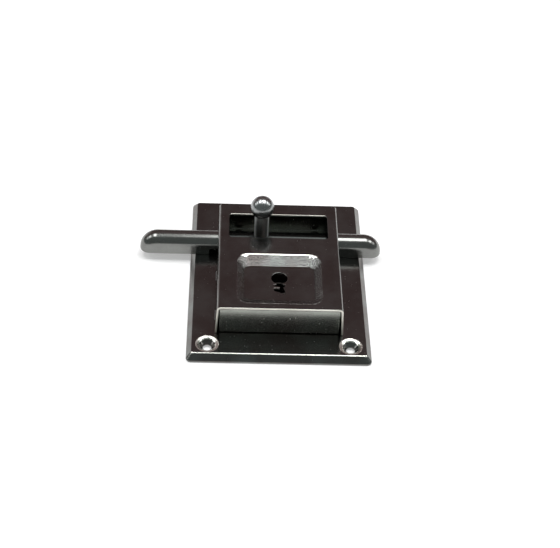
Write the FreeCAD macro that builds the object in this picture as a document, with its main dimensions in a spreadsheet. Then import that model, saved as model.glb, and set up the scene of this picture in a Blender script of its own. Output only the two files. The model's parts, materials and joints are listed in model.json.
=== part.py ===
"""Slide bolt with a lock: a pressed back plate, a folded cover with a dished and warded
keyhole, a double-ended bolt moved by a ball knob, and the lock work under the dish.

X runs along the bolt, Y from the front of the case to its rear, Z up from the door.
The origin is the centre of the back plate on the face that lies against the door.
"""
import FreeCAD
import Part

import os

import Sketcher

doc = FreeCAD.newDocument("slide_bolt")

# Driving dimensions in millimetres
SIZES = (
    ("plate_width", 90.0, "back plate along the bolt"),
    ("plate_length", 120.0, "back plate across the bolt"),
    ("plate_height", 4.0, "door to the top face of the back plate"),
    ("plate_sheet", 1.2, "sheet of the back plate"),
    ("plate_corner", 2.5, "corner radius of the back plate at the door"),
    ("rim_lip", 0.9, "upright edge of the rim"),
    ("rim_run", 2.6, "width of the sloped rim seen from above"),
    ("fold_round", 0.8, "rounding of the fold between rim and top face"),
    ("screw_spacing", 69.8, "front screws, centre to centre"),
    ("screw_land", 0.673, "flat between the rim and the lip of a front screw hole"),
    ("rear_screw_inset", 12.5, "rear edge of the plate to the rear screw"),
    ("screw_bore", 4.2, "bore of the screw holes"),
    ("sink_width", 9.3, "countersinks at the plate's top, without their lip"),
    ("sink_lip_round", 2.6, "rounding of the countersinks' lip"),
    ("sink_land", 0.7, "straight bore below the countersink"),
    ("sink_wall", 1.0, "sheet left round the countersink"),
    ("case_width", 61.0, "cover over its top"),
    ("case_front", 43.5, "origin to the front edge of the cover"),
    ("case_rear", 36.5, "origin to the rear edge of the cover"),
    ("case_top", 20.8, "door to the top of the cover"),
    ("cover_sheet", 1.0, "sheet of the cover and of its end walls"),
    ("cover_bend", 2.0, "outer radius of the cover's bends"),
    ("wall_splay", 0.9, "how far each side wall leans out at its foot"),
    ("slot_length", 50.6, "knob slot along the bolt"),
    ("slot_width", 18.4, "knob slot across the bolt"),
    ("slot_line", 18.9, "origin to the middle of the knob slot"),
    ("slot_corner", 1.6, "corner radius of the knob slot"),
    ("dish_length", 42.2, "mouth of the dish along the bolt"),
    ("dish_width", 36.4, "mouth of the dish across the bolt"),
    ("dish_line", 21.4, "origin to the middle of the dish, towards the front"),
    ("dish_depth", 3.0, "top of the cover to the floor of the dish"),
    ("dish_side_run", 3.7, "width of the side slopes"),
    ("dish_end_run", 5.6, "width of the front and rear slopes"),
    ("dish_corner", 6.0, "corner radius of the dish's mouth"),
    ("dish_floor_corner", 3.5, "corner radius of the dish's floor"),
    ("dish_lip_round", 1.6, "rounding of the dish's upper edge"),
    ("dish_floor_round", 0.8, "rounding between slope and floor"),
    ("keyhole_line", 17.8, "origin to the keyhole's axis, towards the front"),
    ("keyhole_bore", 8.0, "round part of the keyhole"),
    ("bit_reach", 11.7, "keyhole's axis to the end of the keyhole's slot"),
    ("neck_width", 2.9, "slot where it leaves the round part"),
    ("ward_width", 5.4, "slot over its wards"),
    ("ward_left", 0.3, "keyhole's axis to the left flank of the waist"),
    ("ward_right", 1.95, "keyhole's axis to the right flank of the waist"),
    ("ward_level_1", 4.7, "keyhole's axis to the top of the upper lobe"),
    ("ward_level_2", 5.6, "keyhole's axis to the upper ward's left end"),
    ("ward_level_3", 6.3, "keyhole's axis to the top of the waist"),
    ("ward_level_4", 7.4, "keyhole's axis to the foot of the waist"),
    ("ward_level_5", 9.2, "keyhole's axis to the lower lobe's ends"),
    ("bolt_length", 125.4, "bolt over its rounded ends"),
    ("bolt_width", 11.0, "bolt across its flat sides"),
    ("bolt_height", 10.0, "bolt over its rounded back"),
    ("bolt_line", 20.0, "origin to the bolt's centre line"),
    ("bolt_gap", 0.12, "running gap between bolt and back plate"),
    ("bolt_shift", 8.7, "how far the bolt stands to the left as pictured"),
    ("bolt_play", 0.25, "gap between bolt and cover"),
    ("bolt_end_round", 9.4, "radius of the bolt's ends seen from the front"),
    ("bolt_back_round", 5.3, "radius along the bolt's back"),
    ("notch_spacing", 42.6, "locking notches, centre to centre"),
    ("notch_width", 10.8, "locking notch along the bolt"),
    ("notch_height", 3.7, "locking notch from the bolt's underside"),
    ("notch_depth", 6.0, "locking notch into the bolt's front"),
    ("ball_width", 12.0, "ball of the knob"),
    ("knob_top", 38.1, "door to the top of the ball"),
    ("stem_width", 7.3, "stem of the knob"),
    ("stem_seat", 2.0, "stem sunk into the bolt's back"),
    ("spigot_width", 4.5, "spigot of the knob through the bolt"),
    ("fit_gap", 0.03, "gap all round parts that are pressed or riveted in"),
    ("dog_sheet", 3.0, "thickness of the dog and of the catch"),
    ("dog_gap", 0.2, "gap between the dog and the back plate"),
    ("dog_free", 2.5, "tip of the dog to the bolt's front when it is out"),
    ("dog_throw", 6.5, "full travel of the dog with a notch in front of it"),
    ("dog_stop", 0.5, "dog's shoulders to the bolt when it is in"),
    ("tongue_play", 0.3, "gap each side of the tongue in a notch"),
    ("bit_clear", 1.1, "gap between the turning bit and the dog's body"),
    ("talon_lap", 0.8, "how far the bit reaches into the arm"),
    ("talon_depth", 2.0, "depth of the talon notch"),
    ("talon_near", 1.7, "keyhole's axis to the talon notch's rear flank"),
    ("talon_far", 5.3, "keyhole's axis to the talon notch's front flank"),
    ("arm_width", 6.6, "arm of the dog"),
    ("arm_drop", 9.0, "arm past the keyhole's axis"),
    ("ear_end", 10.0, "origin to the end of the dog's left ear"),
    ("guide_edge", 4.8, "left guide pin to the dog's left edge"),
    ("guide_line", 0.5, "origin to the guide pins across the bolt"),
    ("guide_width", 3.0, "shank of the guide pins"),
    ("guide_play", 0.05, "gap each side of a guide pin in its slot"),
    ("nick_line", 5.0, "origin to the nick that holds the dog out"),
    ("nick_depth", 1.6, "depth of the nicks in the dog's edge"),
    ("nick_run", 2.0, "middle of a nick to each end of its mouth"),
    ("catch_gap", 0.3, "gap between catch and dog"),
    ("catch_width", 3.0, "bar of the catch"),
    ("catch_end", 8.2, "origin to the end of the catch"),
    ("catch_root", 12.0, "origin to the root of the catch's bar"),
    ("catch_eye_step", 3.5, "face of the catch to its pivot"),
    ("catch_pivot_line", 17.0, "origin to the catch's pivot, towards the front"),
    ("catch_eye_width", 6.8, "eye of the catch"),
    ("catch_pin_width", 4.0, "pin of the catch"),
    ("pivot_play", 0.06, "radial gap between the catch and its pin"),
    ("catch_nib_gap", 0.2, "nib to the nick's root"),
    ("catch_nib_half", 1.7, "half the width of the nib's root"),
    ("spring_sheet", 0.4, "leaf springs"),
    ("post_gap", 1.15, "end of the catch to the spring's post"),
    ("post_width", 2.5, "post of the catch spring"),
    ("leaf_length", 12.6, "catch spring from its post to its tip"),
    ("bolt_spring_width", 12.0, "leaf on the bolt, along the bolt"),
    ("bolt_spring_foot", 8.5, "length of that leaf's foot under the cover"),
    ("bolt_spring_root", 1.5, "origin to the foot's end, towards the front"),
    ("ward_plate_reach", 12.5, "half the ward plate along the bolt"),
    ("ward_plate_rear", 9.0, "origin to the ward plate's rear edge"),
    ("ward_plate_front", 34.0, "origin to the ward plate's front edge"),
    ("ward_plate_rise", 6.2, "back plate to the underside of the ward plate"),
    ("ward_plate_sheet", 1.0, "sheet of the ward plate"),
    ("ward_plate_bore", 8.6, "bore of the ward plate"),
    ("ward_post_reach", 9.0, "origin to each post along the bolt"),
    ("ward_post_line", 31.5, "origin to the posts, towards the front"),
    ("ward_post_width", 4.0, "square posts of the ward plate"),
    ("ward_tenon", 2.4, "square tenons of those posts"),
    ("bush_bore", 7.4, "bore in line with the keyhole"),
    ("bush_width", 9.4, "bush under the keyhole"),
    ("bush_rise", 0.6, "bush above the back plate"),
    ("rivet_width", 3.0, "shank of the wall rivets"),
    ("pin_head", 5.6, "heads of the pins"),
    ("pin_head_rise", 1.2, "height of the pins' heads"),
    ("wall_play", 0.32, "gap between the end walls and the cover"),
    ("wall_inset", 0.4, "end walls behind the cover's edges"),
    ("wall_bend", 1.4, "outer radius of the end walls' bends"),
    ("wall_foot", 8.0, "length of the end walls' feet"),
    ("wall_rivet_edge", 9.2, "ends of the end walls to their rivets"),
    ("wall_rivet_inset", 4.4, "face of an end wall to its rivets"),
    ("tab_length", 8.0, "clinch tabs of the cover along the case"),
    ("tab_turn", 3.6, "turned end of the clinch tabs"),
    ("tab_line", 30.0, "origin to the front tabs, towards the front"),
    ("tab_rear_line", 1.0, "origin to the rear tabs, towards the front"),
    ("tab_play", 0.1, "gap round the tabs in the back plate"),
)

# Sizes worked out from the driving ones
DERIVED = (
    ("plate_half_x", "=plate_width / 2"),
    ("plate_half_y", "=plate_length / 2"),
    ("top_half_x", "=plate_half_x - rim_run"),
    ("top_half_y", "=plate_half_y - rim_run"),
    ("top_corner", "=plate_corner / 2"),
    ("plate_under", "=plate_height - plate_sheet"),
    ("hollow_half_x", "=plate_half_x - plate_sheet"),
    ("hollow_half_y", "=plate_half_y - plate_sheet"),
    ("hollow_top_half_x", "=top_half_x - plate_sheet / 2"),
    ("hollow_top_half_y", "=top_half_y - plate_sheet / 2"),
    ("screw_reach", "=screw_spacing / 2"),
    ("screw_line", "=top_half_y - screw_land - sink_lip_radius"),
    ("rear_screw_line", "=plate_half_y - rear_screw_inset"),
    ("screw_radius", "=screw_bore / 2"),
    ("sink_radius", "=sink_width / 2"),
    ("sink_depth", "=sink_radius - screw_radius"),
    ("sink_lip_radius", "=sink_radius + sink_lip_round * (sqrt(2) - 1)"),
    ("sink_lip_depth", "=sink_lip_round * (1 - 1 / sqrt(2))"),
    ("sink_lip_foot", "=plate_height - sink_lip_depth"),
    ("sink_lip_core", "=plate_height - sink_lip_round"),
    ("sink_floor", "=plate_height - sink_depth"),
    ("sink_foot", "=sink_floor - sink_land"),
    ("boss_foot_radius", "=screw_radius + sink_wall"),
    ("boss_rise", "=plate_height - plate_sheet / 2 - sink_foot"),
    ("boss_top_radius", "=boss_foot_radius + boss_rise"),
    ("case_half", "=case_width / 2"),
    ("wall_outer", "=case_half + wall_splay"),
    ("wall_inner", "=wall_outer - cover_sheet"),
    ("case_inner", "=case_half - cover_sheet"),
    ("case_under", "=case_top - cover_sheet"),
    ("case_depth", "=case_front + case_rear"),
    ("bend_inner", "=cover_bend - cover_sheet"),
    ("slot_half", "=slot_length / 2"),
    ("slot_front", "=slot_line - slot_width / 2"),
    ("slot_rear", "=slot_line + slot_width / 2"),
    ("dish_half_x", "=dish_length / 2"),
    ("dish_front", "=-dish_line - dish_width / 2"),
    ("dish_rear", "=-dish_line + dish_width / 2"),
    ("floor_half_x", "=dish_half_x - dish_side_run"),
    ("floor_front", "=dish_front + dish_end_run"),
    ("floor_rear", "=dish_rear - dish_end_run"),
    ("floor_top", "=case_top - dish_depth"),
    ("floor_under", "=floor_top - cover_sheet"),
    ("dish_back_half_x", "=floor_half_x + cover_sheet / 2"),
    ("dish_back_front", "=floor_front - cover_sheet / 2"),
    ("dish_back_rear", "=floor_rear + cover_sheet / 2"),
    ("keyhole_y", "=-keyhole_line"),
    ("keyhole_radius", "=keyhole_bore / 2"),
    ("neck_half", "=neck_width / 2"),
    ("ward_half", "=ward_width / 2"),
    ("ward_start", "=keyhole_y - keyhole_radius + cover_sheet"),
    ("ward_y_1", "=keyhole_y - ward_level_1"),
    ("ward_y_2", "=keyhole_y - ward_level_2"),
    ("ward_y_3", "=keyhole_y - ward_level_3"),
    ("ward_y_4", "=keyhole_y - ward_level_4"),
    ("ward_y_5", "=keyhole_y - ward_level_5"),
    ("ward_tip", "=keyhole_y - bit_reach"),
    ("bolt_foot", "=plate_height + bolt_gap"),
    ("bolt_top", "=bolt_foot + bolt_height"),
    ("bolt_left", "=-bolt_shift - bolt_length / 2"),
    ("bolt_right", "=-bolt_shift + bolt_length / 2"),
    ("bolt_front", "=bolt_line - bolt_width / 2"),
    ("bolt_rear", "=bolt_line + bolt_width / 2"),
    ("door_front", "=bolt_front - bolt_play"),
    ("door_rear", "=bolt_rear + bolt_play"),
    ("door_top", "=bolt_top + bolt_play"),
    ("door_foot", "=plate_height - cover_sheet"),
    ("door_round", "=bolt_back_round + bolt_play"),
    ("notch_reach", "=notch_spacing / 2"),
    ("notch_left", "=-bolt_shift - notch_reach - notch_width / 2"),
    ("notch_right", "=-bolt_shift + notch_reach - notch_width / 2"),
    ("knob_x", "=-bolt_shift"),
    ("ball_radius", "=ball_width / 2"),
    ("ball_height", "=knob_top - ball_radius"),
    ("stem_radius", "=stem_width / 2"),
    ("stem_foot", "=bolt_top - stem_seat"),
    ("stem_length", "=ball_height - stem_foot"),
    ("stem_hole_radius", "=stem_radius + fit_gap"),
    ("spigot_radius", "=spigot_width / 2"),
    ("spigot_length", "=stem_foot - bolt_foot"),
    ("spigot_hole_radius", "=spigot_radius + fit_gap"),
    ("dog_foot", "=plate_height + dog_gap"),
    ("dog_top", "=dog_foot + dog_sheet"),
    ("pin_head_foot", "=dog_top + dog_gap"),
    ("dog_tip", "=bolt_front - dog_free"),
    ("dog_shoulder", "=bolt_front - dog_stop - dog_throw"),
    ("tongue_half", "=notch_width / 2 - tongue_play"),
    ("dog_rear", "=keyhole_y + bit_reach + bit_clear"),
    ("arm_inner", "=bit_reach - talon_lap"),
    ("arm_outer", "=arm_inner + arm_width"),
    ("arm_end", "=keyhole_y - arm_drop"),
    ("guide_reach", "=arm_inner + arm_width / 2"),
    ("dog_left_reach", "=guide_reach + guide_edge"),
    ("talon_floor", "=arm_inner + talon_depth"),
    ("talon_rear", "=keyhole_y - talon_near"),
    ("talon_front", "=keyhole_y - talon_far"),
    ("guide_radius", "=guide_width / 2"),
    ("guide_slot_half", "=guide_radius + guide_play"),
    ("guide_slot_left", "=guide_reach - guide_slot_half"),
    ("guide_slot_right", "=guide_reach + guide_slot_half"),
    ("guide_slot_front", "=guide_line - dog_throw - guide_slot_half"),
    ("guide_slot_rear", "=guide_line + guide_slot_half"),
    ("nick_floor", "=dog_left_reach - nick_depth"),
    ("nick_rear", "=nick_line + nick_run"),
    ("nick_front", "=nick_line - nick_run"),
    ("nick_two_line", "=nick_line - dog_throw"),
    ("nick_two_rear", "=nick_two_line + nick_run"),
    ("nick_two_front", "=nick_two_line - nick_run"),
    ("catch_face", "=dog_left_reach + catch_gap"),
    ("catch_back", "=catch_face + catch_width"),
    ("catch_tip", "=nick_floor + catch_nib_gap"),
    ("nib_rear", "=nick_line + catch_nib_half"),
    ("nib_front", "=nick_line - catch_nib_half"),
    ("catch_eye_radius", "=catch_eye_width / 2"),
    ("catch_pivot_reach", "=catch_face + catch_eye_step"),
    ("catch_pivot_y", "=-catch_pivot_line"),
    ("catch_foot_y", "=catch_pivot_y + catch_sheet_lap"),
    ("catch_sheet_lap", "=catch_eye_radius / 4"),
    ("catch_foot_x", "=catch_pivot_reach - catch_eye_radius + catch_sheet_lap"),
    ("catch_root_y", "=-catch_root"),
    ("catch_pin_radius", "=catch_pin_width / 2"),
    ("catch_hole_radius", "=catch_pin_radius + pivot_play"),
    ("pin_hole_radius", "=catch_pin_radius + fit_gap"),
    ("post_radius", "=post_width / 2"),
    ("post_hole_radius", "=post_radius + fit_gap"),
    ("post_reach", "=catch_back + post_radius"),
    ("post_y", "=catch_end + post_gap + post_radius"),
    ("leaf_eye_radius", "=post_hole_radius + spring_sheet"),
    ("leaf_root_outer", "=post_reach + leaf_eye_radius"),
    ("leaf_root_inner", "=post_reach + post_hole_radius + fit_gap"),
    ("leaf_tip_y", "=post_y - leaf_length"),
    ("leaf_tip_outer", "=catch_back + spring_sheet * 1.2"),
    ("leaf_tip_inner", "=catch_back + spring_sheet * 0.2"),
    ("leaf_bow_y", "=(post_y + leaf_tip_y) / 2"),
    ("leaf_bow_outer", "=(leaf_root_outer + leaf_tip_outer) / 2 + spring_sheet * 2"),
    ("leaf_bow_inner", "=leaf_bow_outer - spring_sheet"),
    ("leaf_start", "=-bolt_spring_root"),
    ("leaf_bend", "=leaf_start + bolt_spring_foot"),
    ("leaf_top", "=case_under - spring_sheet"),
    ("leaf_touch", "=bolt_front - bolt_gap"),
    ("leaf_touch_back", "=leaf_touch - spring_sheet * 1.2"),
    ("leaf_touch_rise", "=dog_top + dog_sheet"),
    ("leaf_toe", "=leaf_touch - spring_sheet * 4"),
    ("leaf_toe_back", "=leaf_toe - spring_sheet"),
    ("leaf_toe_rise", "=leaf_touch_rise - spring_sheet * 4"),
    ("ward_plate_foot", "=plate_height + ward_plate_rise"),
    ("ward_plate_radius", "=ward_plate_bore / 2"),
    ("ward_slot_start", "=keyhole_y - ward_plate_radius + ward_plate_sheet"),
    ("ward_slot_half", "=ward_half + fit_gap"),
    ("ward_slot_end", "=ward_tip - fit_gap"),
    ("ward_post_y", "=-ward_post_line"),
    ("ward_tenon_hole", "=ward_tenon + fit_gap * 2"),
    ("ward_tenon_length", "=plate_sheet + ward_plate_rise + ward_plate_sheet"),
    ("bush_bore_radius", "=bush_bore / 2"),
    ("bush_radius", "=bush_width / 2"),
    ("bush_hole_radius", "=bush_radius + fit_gap"),
    ("bush_length", "=plate_sheet + bush_rise"),
    ("rivet_radius", "=rivet_width / 2"),
    ("rivet_hole_radius", "=rivet_radius + fit_gap"),
    ("pin_head_radius", "=pin_head / 2"),
    ("foot_top", "=plate_height + cover_sheet"),
    ("wall_half", "=case_inner - wall_play"),
    ("wall_length", "=wall_half * 2"),
    ("wall_rivet_reach", "=wall_half - wall_rivet_edge"),
    ("wall_top", "=case_under - wall_play"),
    ("front_outer", "=-case_front + wall_inset"),
    ("front_inner", "=front_outer + cover_sheet"),
    ("front_foot", "=front_outer + wall_foot"),
    ("front_rivet_y", "=front_outer + wall_rivet_inset"),
    ("rear_outer", "=case_rear - wall_inset"),
    ("rear_inner", "=rear_outer - cover_sheet"),
    ("rear_foot", "=rear_outer - wall_foot"),
    ("rear_rivet_y", "=rear_outer - wall_rivet_inset"),
    ("wall_bend_inner", "=wall_bend - cover_sheet"),
    ("tab_foot", "=plate_under - cover_sheet"),
    ("tab_turned", "=wall_inner - tab_turn"),
    ("tab_half", "=tab_length / 2"),
    ("tab_slot_inner", "=wall_inner - tab_play"),
    ("tab_slot_width", "=cover_sheet + tab_play * 2"),
    ("tab_slot_length", "=tab_length + tab_play * 2"),
    ("tab_slot_y_front", "=-tab_line - tab_half - tab_play"),
    ("tab_slot_y_rear", "=-tab_rear_line - tab_half - tab_play"),
    ("tab_start_front", "=tab_line + tab_half"),
    ("tab_start_rear", "=tab_rear_line + tab_half"),
)

SIDES = (("left", "-"), ("right", ""))
NEAR = 1e-4

sheet = doc.addObject("Spreadsheet::Sheet", "sizes")
nodes = []


def fill_sheet():
    """Write every size into the sheet: name, value and meaning on one row."""
    row = 1
    for name, value, meaning in SIZES:
        sheet.set("A%d" % row, name)
        sheet.set("B%d" % row, str(value))
        sheet.set("C%d" % row, meaning)
        sheet.setAlias("B%d" % row, name)
        row += 1
    for name, rule in DERIVED:
        sheet.set("A%d" % row, name)
        sheet.set("B%d" % row, rule)
        sheet.setAlias("B%d" % row, name)
        row += 1
    doc.recompute()


def number(cell):
    """Value of a cell, or its negative where the name starts with a minus."""
    if cell == "0":
        return 0.0
    sign = -1.0 if cell.startswith("-") else 1.0
    return sign * float(sheet.get(cell.lstrip("-")))


def formula(cell):
    """Expression that reads the same cell."""
    if cell.startswith("-"):
        return "-sizes." + cell[1:]
    return "sizes." + cell


def bind(item, prop, cell):
    """Tie a property to a cell; a plain 0 leaves it alone."""
    if cell != "0":
        item.setExpression(prop, formula(cell))


def add_node(name, item):
    """Name a finished sub-part and keep it for the checks and the files."""
    item.Label = name
    nodes.append((name, item))
    return item


def new_body(name):
    """Empty PartDesign body."""
    return doc.addObject("PartDesign::Body", name)


def new_sketch(body, name, plane, level):
    """Empty sketch on one of the body's origin planes, raised along its normal."""
    sketch = body.newObject("Sketcher::SketchObject", name)
    base = [item for item in body.Origin.OriginFeatures if item.Role == plane][0]
    sketch.AttachmentSupport = [(base, "")]
    sketch.MapMode = "FlatFace"
    bind(sketch, "AttachmentOffset.Base.z", level)
    return sketch


def tie(sketch, kind, line, cell):
    """Hold the start of a line at a cell's distance from the sketch's origin."""
    if cell == "0":
        axis = -2 if kind == "DistanceX" else -1
        sketch.addConstraint(Sketcher.Constraint("PointOnObject", line, 1, axis))
        return
    index = sketch.addConstraint(Sketcher.Constraint(kind, -1, 1, line, 1, number(cell)))
    sketch.setExpression("Constraints[%d]" % index, formula(cell))


def outline(body, name, plane, level, corners):
    """Closed sketch of straight lines with each corner tied to two cells."""
    sketch = new_sketch(body, name, plane, level)
    points = [FreeCAD.Vector(number(across), number(up), 0) for across, up in corners]
    count = len(points)
    for index in range(count):
        sketch.addGeometry(Part.LineSegment(points[index], points[(index + 1) % count]), False)
    for index in range(count):
        sketch.addConstraint(Sketcher.Constraint("Coincident", index, 2, (index + 1) % count, 1))
    for index, (across, up) in enumerate(corners):
        tie(sketch, "DistanceX", index, across)
        tie(sketch, "DistanceY", index, up)
    return sketch


def rectangle(body, name, plane, level, left, right, low, high):
    """Sketch of a rectangle with straight corners."""
    corners = ((left, low), (right, low), (right, high), (left, high))
    return outline(body, name, plane, level, corners)


def rounded(body, name, plane, level, left, right, low, high, radius):
    """Sketch of a rectangle with round corners, its sides and radius tied to cells."""
    sketch = new_sketch(body, name, plane, level)
    x0, x1, y0, y1, r = [number(cell) for cell in (left, right, low, high, radius)]
    quarter = 1.5707963267948966
    up = FreeCAD.Vector(0, 0, 1)
    stops = (
        ((x0 + r, y0), (x1 - r, y0), (x1 - r, y0 + r), 3),
        ((x1, y0 + r), (x1, y1 - r), (x1 - r, y1 - r), 0),
        ((x1 - r, y1), (x0 + r, y1), (x0 + r, y1 - r), 1),
        ((x0, y1 - r), (x0, y0 + r), (x0 + r, y0 + r), 2),
    )
    for start, end, centre, turn in stops:
        sketch.addGeometry(Part.LineSegment(FreeCAD.Vector(*start), FreeCAD.Vector(*end)), False)
        circle = Part.Circle(FreeCAD.Vector(*centre), up, r)
        sketch.addGeometry(Part.ArcOfCircle(circle, turn * quarter, (turn + 1) * quarter), False)
    for index in range(8):
        sketch.addConstraint(Sketcher.Constraint("Tangent", index, 2, (index + 1) % 8, 1))
    for line in (0, 4):
        sketch.addConstraint(Sketcher.Constraint("Horizontal", line))
    for line in (2, 6):
        sketch.addConstraint(Sketcher.Constraint("Vertical", line))
    for arc in (3, 5, 7):
        sketch.addConstraint(Sketcher.Constraint("Equal", 1, arc))
    index = sketch.addConstraint(Sketcher.Constraint("Radius", 1, r))
    sketch.setExpression("Constraints[%d]" % index, formula(radius))
    tie(sketch, "DistanceY", 0, low)
    tie(sketch, "DistanceX", 2, right)
    tie(sketch, "DistanceY", 4, high)
    tie(sketch, "DistanceX", 6, left)
    return sketch


def disc(body, name, plane, level, across, up, radius):
    """Sketch of one circle, its centre and radius tied to cells."""
    sketch = new_sketch(body, name, plane, level)
    centre = FreeCAD.Vector(number(across), number(up), 0)
    sketch.addGeometry(Part.Circle(centre, FreeCAD.Vector(0, 0, 1), number(radius)), False)
    index = sketch.addConstraint(Sketcher.Constraint("Radius", 0, number(radius)))
    sketch.setExpression("Constraints[%d]" % index, formula(radius))
    for kind, cell, axis in (("DistanceX", across, -2), ("DistanceY", up, -1)):
        if cell == "0":
            sketch.addConstraint(Sketcher.Constraint("PointOnObject", 0, 3, axis))
            continue
        index = sketch.addConstraint(Sketcher.Constraint(kind, -1, 1, 0, 3, number(cell)))
        sketch.setExpression("Constraints[%d]" % index, formula(cell))
    return sketch


def pad(body, name, sketch, length, reverse=False, both=False):
    """Pad a sketch by a cell's length."""
    feature = body.newObject("PartDesign::Pad", name)
    feature.Profile = sketch
    feature.Reversed = reverse
    feature.Midplane = both
    bind(feature, "Length", length)
    doc.recompute()
    return feature


def cut(body, name, sketch, both=False):
    """Pocket a sketch through everything and see that it bites."""
    before = body.Shape.Volume
    feature = body.newObject("PartDesign::Pocket", name)
    feature.Profile = sketch
    feature.Midplane = both
    feature.Type = "ThroughAll"
    doc.recompute()
    if body.Shape.Volume > before - NEAR:
        raise RuntimeError("%s cuts nothing" % name)
    return feature


def loft(body, name, kind, first, second):
    """Straight loft between two sketches, added to the body or taken from it."""
    feature = body.newObject(kind, name)
    feature.Profile = first
    feature.Sections = [second]
    feature.Ruled = True
    doc.recompute()
    return feature


def fillet(body, name, radius, wanted):
    """Round the edges of the body's tip that the test accepts."""
    tip = body.Tip
    edges = ["Edge%d" % (number_of + 1) for number_of, edge in enumerate(tip.Shape.Edges)
             if wanted(edge)]
    if not edges:
        raise RuntimeError("%s finds no edge" % name)
    feature = body.newObject("PartDesign::Fillet", name)
    feature.Base = (tip, edges)
    bind(feature, "Radius", radius)
    doc.recompute()
    return feature


def is_at(value, cell):
    """Whether a coordinate lies at a cell's value."""
    return abs(value - number(cell)) < NEAR


def lies_at(edge, height):
    """Whether both ends of an edge lie at a cell's height."""
    return all(is_at(corner.Z, height) for corner in edge.Vertexes)


def runs_along(edge, axis):
    """Whether a straight edge runs along one of the axes X, Y or Z."""
    if len(edge.Vertexes) != 2:
        return False
    first, last = edge.Vertexes[0].Point, edge.Vertexes[1].Point
    step = last - first
    others = [abs(getattr(step, name)) for name in "xyz" if name != axis]
    return max(others) < NEAR and isinstance(edge.Curve, Part.Line)


def place(item, across, deep, height):
    """Tie the place of a Part primitive to three cells."""
    bind(item, "Placement.Base.x", across)
    bind(item, "Placement.Base.y", deep)
    bind(item, "Placement.Base.z", height)
    return item


def cylinder(name, radius, length, across, deep, height):
    """Upright cylinder."""
    item = doc.addObject("Part::Cylinder", name)
    bind(item, "Radius", radius)
    bind(item, "Height", length)
    return place(item, across, deep, height)


def cone(name, low_radius, high_radius, length, across, deep, height):
    """Upright cone stump."""
    item = doc.addObject("Part::Cone", name)
    bind(item, "Radius1", low_radius)
    bind(item, "Radius2", high_radius)
    bind(item, "Height", length)
    return place(item, across, deep, height)


def box(name, long_x, long_y, long_z, across, deep, height):
    """Upright box with its low corner at the place."""
    item = doc.addObject("Part::Box", name)
    bind(item, "Length", long_x)
    bind(item, "Width", long_y)
    bind(item, "Height", long_z)
    return place(item, across, deep, height)


def square_bar(name, width, length, across, deep, height):
    """Upright square bar round its place."""
    bar = box(name, width, width, length, "0", "0", height)
    for axis, cell in (("x", across), ("y", deep)):
        bar.setExpression("Placement.Base." + axis, "%s - %s / 2" % (formula(cell), formula(width)))
    return bar


def fuse(name, items):
    """Union of several solids."""
    union = doc.addObject("Part::MultiFuse", name)
    union.Shapes = items
    return union


def subtract(name, base, tools):
    """Base with all the tools taken out of it."""
    result = doc.addObject("Part::Cut", name)
    result.Base = base
    result.Tool = tools[0] if len(tools) == 1 else fuse(name + "_tools", tools)
    return result


def plate_tray():
    """Pressed tray of the back plate: upright lip, sloped rim, flat top, hollow below."""
    body = new_body("tray")
    flat = ("-plate_half_x", "plate_half_x", "-plate_half_y", "plate_half_y", "plate_corner")
    pad(body, "lip", rounded(body, "lip_outline", "XY_Plane", "0", *flat), "rim_lip")
    low = rounded(body, "rim_foot", "XY_Plane", "rim_lip", *flat)
    high = rounded(body, "rim_top", "XY_Plane", "plate_height",
                   "-top_half_x", "top_half_x", "-top_half_y", "top_half_y", "top_corner")
    loft(body, "rim", "PartDesign::AdditiveLoft", low, high)
    fillet(body, "fold", "fold_round", lambda edge: lies_at(edge, "plate_height"))
    mouth = rectangle(body, "hollow_foot", "XY_Plane", "0", "-hollow_half_x", "hollow_half_x",
                      "-hollow_half_y", "hollow_half_y")
    roof = rectangle(body, "hollow_top", "XY_Plane", "plate_under",
                     "-hollow_top_half_x", "hollow_top_half_x",
                     "-hollow_top_half_y", "hollow_top_half_y")
    loft(body, "hollow", "PartDesign::SubtractiveLoft", mouth, roof)
    return body


def screw_places():
    """Names and places of the three countersunk holes."""
    places = [("screw_" + side, sign + "screw_reach", "-screw_line") for side, sign in SIDES]
    return places + [("screw_rear", "0", "rear_screw_line")]


def sink_lip(name, across, deep):
    """What is cut away so that the plate rolls softly into a countersink."""
    blank = cylinder(name + "_blank", "sink_lip_radius", "sink_lip_depth",
                     across, deep, "sink_lip_foot")
    roll = doc.addObject("Part::Torus", name + "_roll")
    bind(roll, "Radius1", "sink_lip_radius")
    bind(roll, "Radius2", "sink_lip_round")
    place(roll, across, deep, "sink_lip_core")
    return subtract(name, blank, [roll])


def back_plate():
    """Tray with pressed countersinks, tab slots, rivet holes and the bush's hole."""
    solids = [plate_tray()]
    tools = []
    for name, across, deep in screw_places():
        solids.append(cone(name + "_boss", "boss_foot_radius", "boss_top_radius", "boss_rise",
                           across, deep, "sink_foot"))
        tools.append(cone(name + "_sink", "screw_radius", "sink_radius", "sink_depth",
                          across, deep, "sink_floor"))
        tools.append(sink_lip(name + "_lip", across, deep))
        tools.append(cylinder(name + "_bore", "screw_radius", "plate_height", across, deep, "0"))
    tools += tab_slots()
    for name, radius, across, deep in rivet_places():
        tools.append(cylinder(name + "_hole", radius, "plate_height", across, deep, "0"))
    tools += tenon_holes("plate", "plate_height", "0")
    pressed = fuse("pressed_plate", solids)
    return add_node("back_plate", subtract("back_plate", pressed, tools))


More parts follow.
